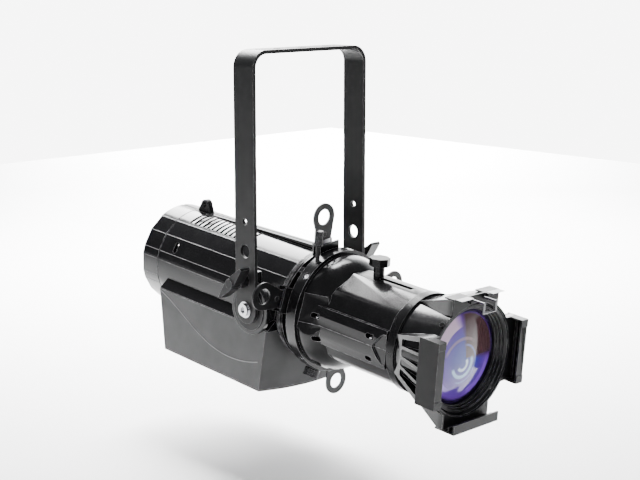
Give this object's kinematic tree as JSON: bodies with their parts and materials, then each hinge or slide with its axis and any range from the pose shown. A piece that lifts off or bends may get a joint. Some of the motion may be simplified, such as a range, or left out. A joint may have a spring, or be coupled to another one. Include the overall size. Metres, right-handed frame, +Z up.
{
  "type": "ellipsoidal spotlight",
  "caption": "Yoke-mounted profile spotlight with framing shutters, a rotating barrel, a focusing lens tube and a colour-frame holder.",
  "frame": {"origin": "centre of the clamp-bolt hole at the top face of the yoke's crossbar", "axes": "+Z up along the clamp bolt, the beam leaves towards -Y, +X along the tilt axis"},
  "size_m": [0.2931, 0.6282, 0.4972],
  "materials": {
    "yoke_paint": "satin black powder coat",
    "cast_black": "satin black paint on die-cast aluminium",
    "sheet_black": "satin black paint on folded sheet",
    "box_grey": "matt dark grey paint on sheet",
    "handle_plastic": "fine-grained black nylon",
    "knob_plastic": "moulded black plastic",
    "screw_chrome": "bright zinc and chrome",
    "blade_steel": "bare stainless sheet",
    "bare_aluminium": "plain extruded aluminium",
    "copper": "copper heat pipe",
    "board": "green circuit board",
    "white_board": "white solder mask",
    "phosphor": "yellow phosphor",
    "lens_glass": "coated optical glass",
    "fibre": "friction fibre",
    "fan_plastic": "moulded fan plastic",
    "inlet_blue": "blue moulded connector",
    "outlet_grey": "grey moulded connector",
    "display": "dark glossy window"
  },
  "bodies": {
    "yoke": {"yoke_bar": "yoke_paint", "friction_washers": "fibre", "clamp_blocks": "cast_black"},
    "handle_right": {"tilt_handle_right": "handle_plastic"},
    "handle_left": {"tilt_handle_left": "handle_plastic"},
    "lamp_house": {"house_shell": "cast_black", "rear_cap": "cast_black", "pivot_discs": "cast_black", "pivot_bolts": "screw_chrome", "safety_eye": "sheet_black", "cap_screws": "screw_chrome", "heat_sink": "bare_aluminium", "heat_pipes": "copper", "led_board": "white_board", "led_array": "phosphor", "condenser_holder": "sheet_black", "condenser_lens": "lens_glass", "fan_frame": "fan_plastic", "driver_box": "box_grey", "box_cover": "box_grey", "cover_screws": "screw_chrome", "driver_board": "board", "power_inlet": "inlet_blue", "power_outlet": "outlet_grey", "data_sockets": "knob_plastic", "display_panel": "display"},
    "fan": {"fan_rotor": "fan_plastic"},
    "menu_key": {"menu_button": "knob_plastic"},
    "up_key": {"up_button": "knob_plastic"},
    "down_key": {"down_button": "knob_plastic"},
    "enter_key": {"enter_button": "knob_plastic"},
    "barrel": {"gate_housing": "cast_black", "barrel_retainer": "bare_aluminium", "gate_plate": "blade_steel", "barrel_upper": "cast_black", "barrel_lower": "cast_black", "barrel_screws": "screw_chrome"},
    "lock_knob": {"barrel_lock_knob": "knob_plastic"},
    "gate_knob": {"pattern_knob": "knob_plastic"},
    "top_shutter": {"top_blade": "blade_steel", "top_handle": "handle_plastic"},
    "bottom_shutter": {"bottom_blade": "blade_steel", "bottom_handle": "handle_plastic"},
    "left_shutter": {"left_blade": "blade_steel", "left_handle": "handle_plastic"},
    "right_shutter": {"right_blade": "blade_steel", "right_handle": "handle_plastic"},
    "focus_tube": {"lens_tube": "sheet_black", "tube_collar": "sheet_black", "front_flare": "cast_black", "frame_holder": "sheet_black", "baffle_rings": "sheet_black", "front_lens": "lens_glass", "rear_lens": "lens_glass", "lens_retainers": "sheet_black", "holder_screws": "sheet_black", "focus_stud": "screw_chrome"},
    "clip": {"frame_clip": "screw_chrome"},
    "focus_screw": {"focus_knob": "knob_plastic"}
  },
  "joints": [
    {"name": "tilt", "type": "hinge", "parent": "yoke", "child": "lamp_house", "pos_m": [0, 0, -0.355], "axis": [1, 0, 0], "range_deg": [-12, 85]},
    {"name": "tilt_handle_left_turn", "type": "hinge", "parent": "yoke", "child": "handle_left", "pos_m": [-0.1195, 0, -0.314], "axis": [-1, 0, 0], "range_deg": [0, 180]},
    {"name": "tilt_handle_right_turn", "type": "hinge", "parent": "yoke", "child": "handle_right", "pos_m": [0.1195, 0, -0.314], "axis": [1, 0, 0], "range_deg": [0, 180]},
    {"name": "fan_spin", "type": "hinge", "parent": "lamp_house", "child": "fan", "pos_m": [0, 0.25901, -0.33234], "axis": [0, -0.9962, -0.0872], "continuous": true},
    {"name": "menu_press", "type": "slide", "parent": "lamp_house", "child": "menu_key", "axis": [0, -0.9976, 0.0687], "range_m": [0, 0.0015], "stiffness_N_per_m": 700},
    {"name": "up_press", "type": "slide", "parent": "lamp_house", "child": "up_key", "axis": [0, -0.9976, 0.0687], "range_m": [0, 0.0015], "stiffness_N_per_m": 700},
    {"name": "down_press", "type": "slide", "parent": "lamp_house", "child": "down_key", "axis": [0, -0.9976, 0.0687], "range_m": [0, 0.0015], "stiffness_N_per_m": 700},
    {"name": "enter_press", "type": "slide", "parent": "lamp_house", "child": "enter_key", "axis": [0, -0.9976, 0.0687], "range_m": [0, 0.0015], "stiffness_N_per_m": 700},
    {"name": "barrel_rotation", "type": "hinge", "parent": "lamp_house", "child": "barrel", "pos_m": [0, -0.05977, -0.36023], "axis": [0, -0.9962, -0.0872], "range_deg": [-25, 25]},
    {"name": "top_shutter_slide", "type": "slide", "parent": "barrel", "child": "top_shutter", "axis": [-0.1045, -0.0867, 0.9907], "range_m": [-0.043, 0.002]},
    {"name": "bottom_shutter_slide", "type": "slide", "parent": "barrel", "child": "bottom_shutter", "axis": [0.2419, 0.0846, -0.9666], "range_m": [-0.0345, 0.0105]},
    {"name": "left_shutter_slide", "type": "slide", "parent": "barrel", "child": "left_shutter", "axis": [-0.9613, -0.024, 0.2746], "range_m": [-0.0395, 0.0055]},
    {"name": "right_shutter_slide", "type": "slide", "parent": "barrel", "child": "right_shutter", "axis": [0.9962, -0.0076, 0.0868], "range_m": [-0.044, 0.001]},
    {"name": "lock_knob_turn", "type": "hinge", "parent": "barrel", "child": "lock_knob", "pos_m": [-0.042, -0.07678, -0.26334], "axis": [0, -0.0872, 0.9962], "range_deg": [0, 360]},
    {"name": "gate_knob_turn", "type": "hinge", "parent": "barrel", "child": "gate_knob", "pos_m": [-0.03719, -0.06129, -0.44042], "axis": [-0.4226, 0.079, -0.9029], "range_deg": [0, 360]},
    {"name": "focus_slide", "type": "slide", "parent": "barrel", "child": "focus_tube", "axis": [0, -0.9962, -0.0872], "range_m": [0, 0.058]},
    {"name": "focus_knob_turn", "type": "hinge", "parent": "focus_tube", "child": "focus_screw", "pos_m": [0, -0.15142, -0.28794], "axis": [0, -0.0872, 0.9962], "range_deg": [0, 360]},
    {"name": "frame_clip_swing", "type": "hinge", "parent": "focus_tube", "child": "clip", "pos_m": [0, -0.32398, -0.30053], "axis": [1, 0, 0], "range_deg": [-100, 0]}
  ]
}
